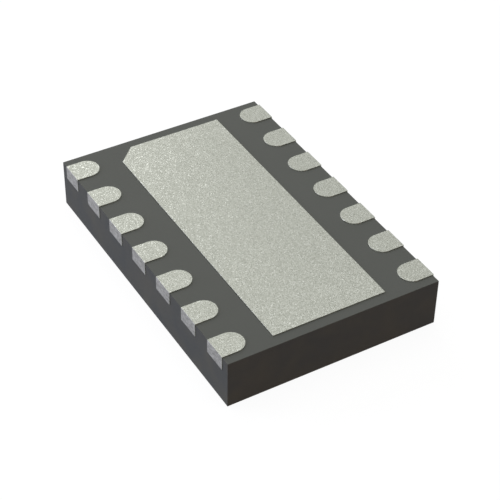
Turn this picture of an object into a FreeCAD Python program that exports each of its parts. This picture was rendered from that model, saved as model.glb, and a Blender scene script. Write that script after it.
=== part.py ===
import FreeCAD, Part
import math
import os

from FreeCAD import Vector

# Dual flat no-lead chip package, lying on its marked face with its solder side up.
# Millimetres. X runs along the rows of leads, Y across them, Z out of the solder side.
# The origin is the middle of the marked face. Lead 1 is at the corner at low X and low Y,
# leads count up along the low Y side and back along the high Y side.

# Leads: D-shaped lands in two rows, with sawn ends that show in the side walls
leads_per_row = 7
lead_spacing = 0.65
lead_width = 0.35
land_length = 0.395
lead_end_proud = 0.010
row_end_margin = 0.125

# Bare paddle between the rows
pad_width = 1.60
pad_end_margin = 0.15
pad_corner_cut = 0.25
pad_to_land = 0.315

# Copper sheet that leads and paddle are etched from
# Rims left by the half etch lock the copper into the mould compound
copper_thickness = 0.20
copper_proud = 0.015
rim_thickness = 0.10
paddle_rim = 0.08
lead_rim = 0.05
lead_rim_setback = 0.12

# Silicon die and the glue film under it
die_side_margin = 0.20
die_end_margin = 0.80
die_thickness = 0.20
glue_thickness = 0.02
glue_border = 0.03

# Bond wires: round wire drawn with flats, its bend in short steps
wire_diameter = 0.025
wire_flats = 8
bond_side_margin = 0.08
bond_end_margin = 0.22
ball_diameter = 0.065
ball_height = 0.010
ball_shoulder = 0.008
loop_height = 0.12
loop_radius = 0.05
loop_steps = 5
stitch_inset = 0.12
stitch_length = 0.05
stitch_width = 0.05
stitch_tip_thickness = 0.006

# Mould compound, with a shallow round mark for lead 1 on the marked face
cap_over_wires = 0.165
mark_diameter = 0.30
mark_depth = 0.01
mark_inset = 0.40

# Outline of the block, from what it holds
row_length = (leads_per_row - 1) * lead_spacing + lead_width
body_length = row_length + 2 * row_end_margin
body_width = pad_width + 2 * (pad_to_land + land_length - lead_end_proud)
pad_length = body_length - 2 * pad_end_margin
die_length = pad_length - 2 * die_end_margin
die_width = pad_width - 2 * die_side_margin

# Levels, stacked up from the marked face
die_face = cap_over_wires + loop_height
glue_face = die_face + die_thickness
bond_face = glue_face + glue_thickness
land_face = bond_face + copper_thickness
mould_face = land_face - copper_proud
rim_face = bond_face + rim_thickness

# Stations across the low Y half
lead_end_y = -body_width / 2 - lead_end_proud
land_tip_y = lead_end_y + land_length
bond_y = -die_width / 2 + bond_side_margin
stitch_y = land_tip_y + lead_rim - stitch_inset

origin = Vector(0, 0, 0)
x_axis = Vector(1, 0, 0)
z_axis = Vector(0, 0, 1)


def plate(outline, bottom, top):
    """A flat sheet piece: a closed outline raised between two levels."""
    sheet = Part.Face(outline).extrude(Vector(0, 0, top - bottom))
    sheet.translate(Vector(0, 0, bottom))
    return sheet


def block(length, width, bottom, top):
    """A box centred on the origin in X and Y, between two levels."""
    return Part.makeBox(length, width, top - bottom, Vector(-length / 2, -width / 2, bottom))


def paddle_outline(rim):
    """Rectangle with one corner clipped at 45 degrees, grown on every side by rim."""
    x = pad_length / 2 + rim
    y = pad_width / 2 + rim
    cut = pad_corner_cut + (2 - math.sqrt(2)) * rim
    corners = [(x, -y), (x, y), (-x, y), (-x, cut - y), (cut - x, -y), (x, -y)]
    return Part.makePolygon([Vector(px, py, 0) for px, py in corners])


def make_paddle():
    bare = plate(paddle_outline(0), bond_face, land_face)
    rim = plate(paddle_outline(paddle_rim), bond_face, rim_face)
    return bare.fuse(rim).removeSplitter()


def land_outline(rim, outer_y):
    """D shape centred on X: square outer end, half round inner end, grown by rim."""
    radius = lead_width / 2 + rim
    centre_y = land_tip_y - lead_width / 2
    left_out = Vector(-radius, outer_y, 0)
    right_out = Vector(radius, outer_y, 0)
    left_in = Vector(-radius, centre_y, 0)
    right_in = Vector(radius, centre_y, 0)
    tip = Vector(0, centre_y + radius, 0)
    return Part.Wire([
        Part.makeLine(left_out, right_out),
        Part.makeLine(right_out, right_in),
        Part.Arc(right_in, tip, left_in).toShape(),
        Part.makeLine(left_in, left_out),
    ])


def make_lead():
    """Lead of the low Y row at X zero: full thickness land, thin rim round its inner end."""
    land = plate(land_outline(0, lead_end_y), bond_face, land_face)
    rim_start = -body_width / 2 + lead_rim_setback
    rim = plate(land_outline(lead_rim, rim_start), bond_face, rim_face)
    return land.fuse(rim).removeSplitter()


def wire_ring(place, tilt, diameter):
    """Corners of a flat-sided ring round a point of the wire, its axis tilted from Z towards X."""
    corner_radius = diameter / 2 / math.cos(math.pi / wire_flats)
    corners = []
    for n in range(wire_flats):
        angle = 2 * math.pi * (n + 0.5) / wire_flats
        forward = corner_radius * math.cos(angle)
        sideways = corner_radius * math.sin(angle)
        corner = Vector(forward * math.cos(tilt), sideways, -forward * math.sin(tilt))
        corners.append(place + corner)
    return corners + corners[:1]


def skin(rings):
    """Solid through a row of rings, with a flat face between each pair of their edges."""
    faces = [Part.Face(Part.makePolygon(ring)) for ring in (rings[0], rings[-1])]
    for low, high in zip(rings, rings[1:]):
        for n in range(wire_flats):
            corners = [low[n], low[n + 1], high[n + 1], high[n], low[n]]
            faces.append(Part.Face(Part.makePolygon(corners)))
    return Part.Solid(Part.Shell(faces))


def make_tongue(span, slope):
    """Wire end pressed flat on the lead: a wedge from the wire's axis to a thin tip."""
    heel_x = span - wire_diameter
    tip_x = span + stitch_length
    heel_height = wire_diameter * math.tan(slope)
    side = [(heel_x, 0), (tip_x, 0), (tip_x, stitch_tip_thickness), (heel_x, heel_height)]
    corners = [Vector(x, -stitch_width / 2, z) for x, z in side + side[:1]]
    return Part.Face(Part.makePolygon(corners)).extrude(Vector(0, stitch_width, 0))


def make_bond_wire(span):
    """Wire along X from a squashed ball on the die to a stitch on a lead, Z over the copper.

    It rises from the ball, turns over the loop radius and runs straight down to the lead.
    One skin is laid through its rings.
    """
    die_height = bond_face - die_face
    pivot_z = die_height + loop_height - wire_diameter / 2 - loop_radius
    pivot_x = loop_radius

    # The descending run is the tangent to the bend from the stitch point
    reach = math.hypot(span - pivot_x, pivot_z)
    slope = math.atan2(pivot_z, span - pivot_x) + math.asin(loop_radius / reach)
    run_length = math.sqrt(reach ** 2 - loop_radius ** 2) + wire_diameter / math.tan(slope)
    turn = math.pi / 2 + slope

    ball_top = die_height + ball_height
    rings = [
        wire_ring(Vector(0, 0, die_height), 0, ball_diameter),
        wire_ring(Vector(0, 0, ball_top), 0, ball_diameter),
        wire_ring(Vector(0, 0, ball_top + ball_shoulder), 0, wire_diameter),
    ]
    for step in range(loop_steps + 1):
        tilt = turn * step / loop_steps
        radial = Vector(-math.cos(tilt), 0, math.sin(tilt)) * loop_radius
        place = Vector(pivot_x, 0, pivot_z) + radial
        rings.append(wire_ring(place, tilt, wire_diameter))
    place += Vector(math.cos(slope), 0, -math.sin(slope)) * run_length
    rings.append(wire_ring(place, turn, wire_diameter))

    # The run is trimmed where it meets the copper
    wire = skin(rings).fuse(make_tongue(span, slope))
    return wire.cut(block(4 * span, 2 * stitch_width, -die_height, 0))


def place_bond_wire(bond_x, lead_x):
    """Wire of the low Y row, from its bond on the die to its lead."""
    across = Vector(lead_x - bond_x, stitch_y - bond_y, 0)
    wire = make_bond_wire(across.Length)
    wire.rotate(origin, x_axis, 180)
    wire.rotate(origin, z_axis, math.degrees(math.atan2(across.y, across.x)))
    wire.translate(Vector(bond_x, bond_y, bond_face))
    return wire


def make_mould(inner_pieces):
    """Block of compound with an exact hollow for each piece moulded into it."""
    mould = block(body_length, body_width, 0, mould_face)
    mark_place = Vector(mark_inset - body_length / 2, mark_inset - body_width / 2, 0)
    mark = Part.makeCylinder(mark_diameter / 2, mark_depth, mark_place)
    return mould.cut([mark] + inner_pieces)


pieces = {"die_paddle": make_paddle()}
glue_length = die_length + 2 * glue_border
glue_width = die_width + 2 * glue_border
pieces["die_attach"] = block(glue_length, glue_width, glue_face, bond_face)
pieces["silicon_die"] = block(die_length, die_width, die_face, glue_face)

# Each row is built on the low Y side, the other row is the same turned half round
bond_pitch = (die_length - 2 * bond_end_margin) / (leads_per_row - 1)
for place in range(leads_per_row):
    from_middle = place - (leads_per_row - 1) / 2
    lead_x = from_middle * lead_spacing
    bond_x = from_middle * bond_pitch
    for row in range(2):
        number = place + 1 + row * leads_per_row
        lead = make_lead()
        lead.translate(Vector(lead_x, 0, 0))
        lead.rotate(origin, z_axis, 180 * row)
        pieces["lead_%02d" % number] = lead
        wire = place_bond_wire(bond_x, lead_x)
        wire.rotate(origin, z_axis, 180 * row)
        pieces["bond_wire_%02d" % number] = wire

pieces["mould_body"] = make_mould(list(pieces.values()))

os.makedirs("parts", exist_ok=True)
for name, piece in pieces.items():
    piece.Solids[0].exportStep("parts/" + name + ".step")
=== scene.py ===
import math

import bpy
from mathutils import Matrix, Vector


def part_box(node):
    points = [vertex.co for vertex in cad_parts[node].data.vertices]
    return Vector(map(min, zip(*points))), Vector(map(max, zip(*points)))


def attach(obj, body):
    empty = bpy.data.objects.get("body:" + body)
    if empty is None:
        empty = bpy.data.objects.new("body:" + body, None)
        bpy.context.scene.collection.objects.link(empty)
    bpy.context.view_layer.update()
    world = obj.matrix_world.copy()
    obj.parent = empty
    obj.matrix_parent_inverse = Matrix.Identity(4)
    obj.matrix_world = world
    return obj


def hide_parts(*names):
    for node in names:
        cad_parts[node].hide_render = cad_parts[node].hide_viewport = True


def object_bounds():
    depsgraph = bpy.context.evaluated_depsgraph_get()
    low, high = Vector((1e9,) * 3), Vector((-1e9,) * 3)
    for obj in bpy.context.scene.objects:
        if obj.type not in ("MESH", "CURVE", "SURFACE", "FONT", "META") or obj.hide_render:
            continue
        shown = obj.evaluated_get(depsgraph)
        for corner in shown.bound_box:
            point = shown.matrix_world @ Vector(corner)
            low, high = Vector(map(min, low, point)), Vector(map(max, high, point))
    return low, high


# A leadless chip package, lying on its marked face with its solder side up.
# Places come from the frame in metres. Pieces with broken edges are copies that are shaped in
# millimetres, because an edge is a few thousandths of one, and then brought back to metres.
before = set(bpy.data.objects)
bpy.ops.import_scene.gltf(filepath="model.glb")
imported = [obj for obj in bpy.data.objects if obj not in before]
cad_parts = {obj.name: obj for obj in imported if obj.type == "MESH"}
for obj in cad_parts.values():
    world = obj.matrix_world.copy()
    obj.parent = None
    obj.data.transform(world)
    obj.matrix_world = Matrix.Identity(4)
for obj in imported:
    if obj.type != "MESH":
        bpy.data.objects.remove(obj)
cad_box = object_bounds()


# Silicon die: a slab sawn from a polished wafer, dark grey with a faint violet cast.
# It is glued to the paddle and sealed in the mould compound.
def from_hex(code):
    """Linear colour of an sRGB hex value."""
    srgb = [int(code[n:n + 2], 16) / 255 for n in (1, 3, 5)]
    return [c / 12.92 if c <= 0.04045 else ((c + 0.055) / 1.055) ** 2.4 for c in srgb] + [1.0]


def add(tree, kind, settings=None, **inputs):
    """Adds a node with its settings. An input is a link or a value, and _6 is the one numbered 6."""
    made = tree.nodes.new(kind)
    for name, value in (settings or {}).items():
        setattr(made, name, value)
    for name, value in inputs.items():
        number = name[1:]
        key = int(number) if number.isdigit() else name.replace("_", " ")
        if isinstance(value, bpy.types.NodeSocket):
            tree.links.new(value, made.inputs[key])
        else:
            made.inputs[key].default_value = value
    return made


def new_material(name):
    """An empty node material with its tree, and the place on the piece in metres."""
    material = bpy.data.materials.new(name)
    material.use_nodes = True
    tree = material.node_tree
    tree.nodes.clear()
    place = add(tree, "ShaderNodeTexCoord").outputs["Object"]
    return material, tree, place


def dress(node, material):
    """Gives a piece of the frame its finish."""
    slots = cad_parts[node].data.materials
    slots.clear()
    slots.append(material)


# Polished monocrystalline silicon: smooth and bright, with faint streets of wiring 40 um apart
silicon, tree, place = new_material("polished_silicon")
street = 0.040e-3
street_gap = 0.0024e-3
streets = add(tree, "ShaderNodeTexBrick", Vector=place, Scale=1.0, Brick_Width=2 * street,
              Row_Height=street, Mortar_Size=street_gap, Color1=from_hex("#3A3B46"),
              Color2=from_hex("#454452"), Mortar=from_hex("#2B2B33"))
shader = add(tree, "ShaderNodeBsdfPrincipled", Base_Color=streets.outputs["Color"],
             Metallic=0.6, Roughness=0.18)
add(tree, "ShaderNodeOutputMaterial", Surface=shader.outputs[0])
dress("silicon_die", silicon)


# Die attach: silver-filled epoxy, squeezed out a little round the die.
# Flakes of silver give a dull grey film, with a painted sparkle lighter at each flake's middle.
glue, tree, place = new_material("silver_filled_epoxy")
silver_flake = 0.008e-3
flakes_with_painted_sparkle = add(tree, "ShaderNodeTexVoronoi", Vector=place, Scale=1 / silver_flake)
# Painted sparkle: each flake painted lighter at its middle and darker towards its rim
tones = add(tree, "ShaderNodeMix", {"data_type": "RGBA"}, _0=flakes_with_painted_sparkle.outputs["Distance"],
            _6=from_hex("#B9B9B4"), _7=from_hex("#7C7C78"))
shader = add(tree, "ShaderNodeBsdfPrincipled", Base_Color=tones.outputs[2], Metallic=0.7,
             Roughness=0.45)
add(tree, "ShaderNodeOutputMaterial", Surface=shader.outputs[0])
dress("die_attach", glue)


# Bond wires: drawn gold wire, 25 um thick, from a ball on the die to a stitch on each lead.
# Drawing leaves it bright, with a faint mottle.
gold, tree, place = new_material("drawn_gold_wire")
wire_mottle = 0.004e-3
spots = add(tree, "ShaderNodeTexNoise", Vector=place, Scale=1 / wire_mottle, Detail=2.0)
tones = add(tree, "ShaderNodeMix", {"data_type": "RGBA"}, _0=spots.outputs[0],
            _6=from_hex("#E8B75A"), _7=from_hex("#F4CB77"))
shader = add(tree, "ShaderNodeBsdfPrincipled", Base_Color=tones.outputs[2], Metallic=1.0,
             Roughness=0.22)
add(tree, "ShaderNodeOutputMaterial", Surface=shader.outputs[0])
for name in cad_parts:
    if name.startswith("bond_wire"):
        dress(name, gold)


# Die paddle: etched copper with a matte tin plate where it is bare, one corner clipped.
# The half-etched rim round its hidden side is gripped by the compound.
mm = 0.001
plate_edge = 0.004
same_corner = 0.00005
flat_within = math.radians(0.5)
sharp_from = math.radians(30)


def copy_in_mm(node):
    """A merged copy of a piece of the frame, in millimetres, as the one selected object."""
    bpy.ops.object.select_all(action="DESELECT")
    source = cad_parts[node]
    piece = bpy.data.objects.new(node + "_dressed", source.data.copy())
    bpy.context.scene.collection.objects.link(piece)
    piece.data.transform(Matrix.Scale(1 / mm, 4))
    bpy.context.view_layer.objects.active = piece
    piece.select_set(True)
    bpy.ops.object.mode_set(mode="EDIT")
    bpy.ops.mesh.select_all(action="SELECT")
    bpy.ops.mesh.remove_doubles(threshold=same_corner)
    bpy.ops.mesh.dissolve_limited(angle_limit=flat_within)
    bpy.ops.object.mode_set(mode="OBJECT")
    return piece


def break_edges(piece, width, chosen=None):
    """Rounds a piece's sharp edges, or those chosen, and brings it back to metres."""
    if chosen:
        weights = piece.data.attributes.new("bevel_weight_edge", "FLOAT", "EDGE")
        for edge in chosen:
            weights.data[edge].value = 1.0
    rounding = piece.modifiers.new("edges", "BEVEL")
    rounding.width = width
    rounding.segments = 2
    rounding.limit_method = "WEIGHT" if chosen else "ANGLE"
    rounding.angle_limit = sharp_from
    rounding.harden_normals = True
    bpy.ops.object.modifier_apply(modifier=rounding.name)
    piece.data.transform(Matrix.Scale(mm, 4))
    piece.data.update()


def stand_for(piece, node, slot, *materials):
    """The dressed piece takes the place of its plain one, on the same body."""
    piece.data.materials.clear()
    for material in materials:
        piece.data.materials.append(material)
    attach(piece, "root")
    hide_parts(node)


# Matte tin plate: crystals of a few um, drawn 6 um wide so that they show. Each has its own
# grey and a slight tilt. A few larger ones are smooth and flash.
tin, tree, place = new_material("matte_tin_plate")
crystal = 0.006e-3
large_crystal = 0.011e-3
cloud = 0.35e-3
cloud_contrast = 0.01
crystal_tilt = 0.10
smoothest_crystal = 0.38
dullest_crystal = 0.50
flashing_share = 0.10
flash_roughness = 0.23
crystals = add(tree, "ShaderNodeTexVoronoi", Vector=place, Scale=1 / crystal)
lot = add(tree, "ShaderNodeSeparateColor", Color=crystals.outputs["Color"])
grey = add(tree, "ShaderNodeMix", {"data_type": "RGBA"}, _0=lot.outputs["Red"],
           _6=from_hex("#72746B"), _7=from_hex("#A1A39B"))
large = add(tree, "ShaderNodeTexVoronoi", Vector=place, Scale=1 / large_crystal)
pick = add(tree, "ShaderNodeSeparateColor", Color=large.outputs["Color"])
flash = add(tree, "ShaderNodeMath", {"operation": "LESS_THAN"}, _0=pick.outputs["Red"],
            _1=flashing_share)
bright = add(tree, "ShaderNodeMix", {"data_type": "RGBA"}, _0=flash.outputs[0],
             _6=grey.outputs[2], _7=from_hex("#A9ABA4"))
clouds = add(tree, "ShaderNodeTexNoise", Vector=place, Scale=1 / cloud, Detail=3.0)
shade = add(tree, "ShaderNodeMapRange", Value=clouds.outputs[0], To_Min=1 - cloud_contrast,
            To_Max=1 + cloud_contrast)
tone = add(tree, "ShaderNodeHueSaturation", Value=shade.outputs[0], Color=bright.outputs[2])
dull = add(tree, "ShaderNodeMapRange", Value=lot.outputs["Blue"], To_Min=smoothest_crystal,
           To_Max=dullest_crystal)
rough = add(tree, "ShaderNodeMapRange", Value=flash.outputs[0], To_Min=dull.outputs[0],
            To_Max=flash_roughness)
lean = add(tree, "ShaderNodeVectorMath", {"operation": "SUBTRACT"}, _0=crystals.outputs["Color"],
           _1=(0.5, 0.5, 0.5))
flat = add(tree, "ShaderNodeNewGeometry")
tilted = add(tree, "ShaderNodeVectorMath", {"operation": "MULTIPLY_ADD"}, _0=lean.outputs[0],
             _1=(crystal_tilt, crystal_tilt, crystal_tilt), _2=flat.outputs["Normal"])
facets = add(tree, "ShaderNodeVectorMath", {"operation": "NORMALIZE"}, _0=tilted.outputs[0])
shader = add(tree, "ShaderNodeBsdfPrincipled", Base_Color=tone.outputs[0], Metallic=1.0,
             Roughness=rough.outputs[0], Normal=facets.outputs[0])
add(tree, "ShaderNodeOutputMaterial", Surface=shader.outputs[0])

paddle = copy_in_mm("die_paddle")
break_edges(paddle, plate_edge)
stand_for(paddle, "die_paddle", "tin_plated_copper", tin)


# Leads: D-shaped lands of the same plated copper, cut through by the saw at the side walls.
# The cut ends are bare of plate: grey metal smeared along the cut by the blade, in soft
# streaks that are twice as long as they are high.
sawn, tree, place = new_material("sawn_lead_end")
streak_height = 0.022e-3
streak_stretch = 2
stretch = add(tree, "ShaderNodeMapping", Vector=place, Scale=(1 / streak_stretch, 1.0, 1.0))
streaks = add(tree, "ShaderNodeTexNoise", Vector=stretch.outputs[0], Scale=1 / streak_height,
              Detail=2.0)
tones = add(tree, "ShaderNodeMix", {"data_type": "RGBA"}, _0=streaks.outputs[0],
            _6=from_hex("#4A4949"), _7=from_hex("#AFB0B2"))
relief = add(tree, "ShaderNodeBump", Height=streaks.outputs[0], Strength=0.3, Distance=0.002e-3)
shader = add(tree, "ShaderNodeBsdfPrincipled", Base_Color=tones.outputs[2], Metallic=1.0,
             Roughness=0.5, Normal=relief.outputs[0])
add(tree, "ShaderNodeOutputMaterial", Surface=shader.outputs[0])

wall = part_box("mould_body")[1].y
facing_out = 0.9
for name in sorted(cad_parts):
    if name.startswith("lead_"):
        lead = copy_in_mm(name)
        break_edges(lead, plate_edge)
        stand_for(lead, name, "tin_plated_copper", tin, sawn)
        for face in lead.data.polygons:
            if abs(face.normal.y) > facing_out and abs(face.center.y) > wall:
                face.material_index = 1


# Mould body: black-grey epoxy compound full of silica, moulded flat and sawn on four sides.
# Its walls are plain, its arrises crisp, and it has a hollow for all that is moulded in.
# A shallow round mark tells lead 1 underneath.

# Epoxy mould compound as it leaves the mould: dark grey, with a fine even grain that gives
# it a soft sheen and a faint mottle
compound, tree, place = new_material("epoxy_mould_compound")
filler = 0.030e-3
mottle = 0.6e-3
grains = add(tree, "ShaderNodeTexNoise", Vector=place, Scale=1 / filler, Detail=3.0)
mottles = add(tree, "ShaderNodeTexNoise", Vector=place, Scale=1 / mottle, Detail=2.0)
base = add(tree, "ShaderNodeMix", {"data_type": "RGBA"}, _0=mottles.outputs[0],
           _6=from_hex("#5B5D58"), _7=from_hex("#5F615C"))
relief = add(tree, "ShaderNodeBump", Height=grains.outputs[0], Strength=0.12, Distance=0.001e-3)
rough = add(tree, "ShaderNodeMapRange", Value=grains.outputs[0], To_Min=0.55, To_Max=0.68)
shader = add(tree, "ShaderNodeBsdfPrincipled", Base_Color=base.outputs[2], IOR=1.55,
             Roughness=rough.outputs[0], Specular_IOR_Level=0.1, Normal=relief.outputs[0])
add(tree, "ShaderNodeOutputMaterial", Surface=shader.outputs[0])

# Sawn epoxy mould compound: the saw leaves fine lines along a wall and cuts through the
# silica, so a wall is duller and greyer than a moulded face and its tone drifts a little
sawn_compound, tree, place = new_material("sawn_mould_compound")
line_height = 0.012e-3
line_length = 0.3e-3
line_contrast = 0.04
drift = 0.4e-3
along = line_height / line_length
stretch = add(tree, "ShaderNodeMapping", Vector=place, Scale=(along, along, 1.0))
lines = add(tree, "ShaderNodeTexNoise", Vector=stretch.outputs[0], Scale=1 / line_height,
            Detail=2.0)
drifts = add(tree, "ShaderNodeTexNoise", Vector=place, Scale=1 / drift, Detail=2.0)
patches = add(tree, "ShaderNodeMapRange", Value=drifts.outputs[0], From_Min=0.3, From_Max=0.7)
base = add(tree, "ShaderNodeMix", {"data_type": "RGBA"}, _0=patches.outputs[0],
           _6=from_hex("#636665"), _7=from_hex("#6D6D67"))
shade = add(tree, "ShaderNodeMapRange", Value=lines.outputs[0], To_Min=1 - line_contrast,
            To_Max=1 + line_contrast)
lined = add(tree, "ShaderNodeHueSaturation", Value=shade.outputs[0], Color=base.outputs[2])
relief = add(tree, "ShaderNodeBump", Height=lines.outputs[0], Strength=0.2, Distance=0.001e-3)
shader = add(tree, "ShaderNodeBsdfPrincipled", Base_Color=lined.outputs[0], IOR=1.55,
             Roughness=0.72, Specular_IOR_Level=0.08, Normal=relief.outputs[0])
add(tree, "ShaderNodeOutputMaterial", Surface=shader.outputs[0])

low, high = (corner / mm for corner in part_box("mould_body"))
mark_radius = 0.15
mark_depth = 0.01
mark_inset = 0.40
mark_middle = Vector((low.x + mark_inset, low.y + mark_inset, low.z))
block_edge = 0.003
near = 0.0005


def outer_planes(point):
    """How many of the block's six outer planes a point lies on."""
    return sum(min(abs(p - a), abs(p - b)) < near for p, a, b in zip(point, low, high))


# Only the arrises and the rim of the mark are broken, the hollows stay exact
block = copy_in_mm("mould_body")
broken = []
for edge in block.data.edges:
    ends = [block.data.vertices[n].co for n in edge.vertices]
    middle = (ends[0] + ends[1]) / 2
    on_marked_face = abs(middle.z - low.z) < near
    on_rim = on_marked_face and (middle - mark_middle).length < mark_radius + near
    if outer_planes(middle) == 2 or on_rim:
        broken.append(edge.index)
break_edges(block, block_edge, broken)
stand_for(block, "mould_body", "mould_compound", compound, sawn_compound)

# Upright faces show the saw, apart from the low wall of the moulded mark
upright = 0.1
for face in block.data.polygons:
    if abs(face.normal.z) < upright and face.center.z > mark_depth * mm:
        face.material_index = 1


# Floor: a pale matt sheet, white to the camera and keeping a faint shadow of the chip.
# It lies a thousandth of a millimetre under the chip and is clear from below. Its cells are
# small, because so thin a gap comes out uneven under one large face.
sheet_size = 0.6
sheet_cells = 61
sheet_gap = 0.001 * mm
touching_gap = 0.015 * mm
shown_glow = 0.92
plain_glow = 0.03
touching_glow = 0.8
bpy.ops.object.select_all(action="DESELECT")
bpy.ops.mesh.primitive_grid_add(x_subdivisions=sheet_cells, y_subdivisions=sheet_cells,
                                size=sheet_size, location=(0, 0, cad_box[0][2] - sheet_gap))
floor = bpy.context.object
floor.name = "floor"

# Matt card, lit up to white where it is seen. It also shines onto what nearly touches it,
# so that the marked face isn't black from below.
card, tree, _ = new_material("matt_card")
rays = add(tree, "ShaderNodeLightPath")
shown = add(tree, "ShaderNodeMath", {"operation": "MAXIMUM"}, _0=rays.outputs["Is Camera Ray"],
            _1=rays.outputs["Is Glossy Ray"])
glow = add(tree, "ShaderNodeMapRange", Value=shown.outputs[0], To_Min=plain_glow,
           To_Max=shown_glow)
touching = add(tree, "ShaderNodeMath", {"operation": "LESS_THAN"}, _0=rays.outputs["Ray Length"],
               _1=touching_gap)
glow = add(tree, "ShaderNodeMapRange", Value=touching.outputs[0], To_Min=glow.outputs[0],
           To_Max=touching_glow)
matt = add(tree, "ShaderNodeBsdfDiffuse", Color=from_hex("#666666"))
light = add(tree, "ShaderNodeEmission", Color=(1, 1, 1, 1), Strength=glow.outputs[0])
both = add(tree, "ShaderNodeAddShader", _0=matt.outputs[0], _1=light.outputs[0])
side = add(tree, "ShaderNodeNewGeometry")
clear = add(tree, "ShaderNodeBsdfTransparent")
one_sided = add(tree, "ShaderNodeMixShader", _0=side.outputs["Backfacing"], _1=both.outputs[0],
                _2=clear.outputs[0])
add(tree, "ShaderNodeOutputMaterial", Surface=one_sided.outputs[0])
floor.data.materials.append(card)


# Studio: soft light from above and from the low X side, a cool lamp low at the corner by
# lead 1 for the sawn ends, and a weak warm one on the high X end, in a white room.
def softbox(name, place, size, power, colour):
    """A square lamp facing the middle of the chip, in metres and watts."""
    lamp = bpy.data.lights.new(name, "AREA")
    lamp.size = size
    lamp.energy = power
    lamp.color = colour
    holder = bpy.data.objects.new(name, lamp)
    holder.location = place
    holder.rotation_euler = Vector(place).to_track_quat("Z", "Y").to_euler()
    bpy.context.scene.collection.objects.link(holder)


white = (1.0, 1.0, 1.0)
cool = (0.81, 0.81, 1.0)
warm = (1.0, 0.38, 0.12)
softbox("top_light", place=(0, 0, 0.060), size=0.100, power=0.0378, colour=white)
softbox("side_light", place=(-0.090, 0.010, 0.045), size=0.060, power=0.0271, colour=white)
softbox("front_light", place=(-0.040, -0.045, 0.015), size=0.030, power=0.0180, colour=cool)
softbox("end_light", place=(0.060, 0.010, 0.006), size=0.020, power=0.0024, colour=warm)

# The room is white where it is seen, mirrored or seen through, and lights nothing else
world = bpy.data.worlds.new("studio")
bpy.context.scene.world = world
world.use_nodes = True
tree = world.node_tree
tree.nodes.clear()
rays = add(tree, "ShaderNodeLightPath")
shown = add(tree, "ShaderNodeMath", {"operation": "MAXIMUM"}, _0=rays.outputs["Is Camera Ray"],
            _1=rays.outputs["Is Glossy Ray"])
shown = add(tree, "ShaderNodeMath", {"operation": "MAXIMUM"}, _0=shown.outputs[0],
            _1=rays.outputs["Is Transmission Ray"])
room = add(tree, "ShaderNodeBackground", Color=(1, 1, 1, 1), Strength=shown.outputs[0])
add(tree, "ShaderNodeOutputWorld", Surface=room.outputs[0])


# Camera: the photograph's view, over the corner at high X and low Y.
# Angles are in degrees, sensor and lens in millimetres. The shift is of the chip in the view.
view_azimuth = 59.055
view_elevation = 39.811
view_roll = 1.008
view_distance = 20.003 * mm
frame_shift = Vector((-0.1070, -0.1287, 0)) * mm
camera = bpy.data.cameras.new("photo_view")
camera.sensor_width = 36
camera.lens = 108.95
camera.clip_start = 0.001
camera.clip_end = 10
turn = Matrix.Rotation(math.radians(view_azimuth), 3, "Z")
turn = turn @ Matrix.Rotation(math.radians(90 - view_elevation), 3, "X")
turn = turn @ Matrix.Rotation(math.radians(view_roll), 3, "Z")
viewpoint = turn @ (Vector((0, 0, view_distance)) - frame_shift)
eye = bpy.data.objects.new("photo_view", camera)
eye.matrix_world = Matrix.Translation(viewpoint) @ turn.to_4x4()
bpy.context.scene.collection.objects.link(eye)
bpy.context.scene.camera = eye
bpy.context.scene.view_settings.view_transform = "Standard"
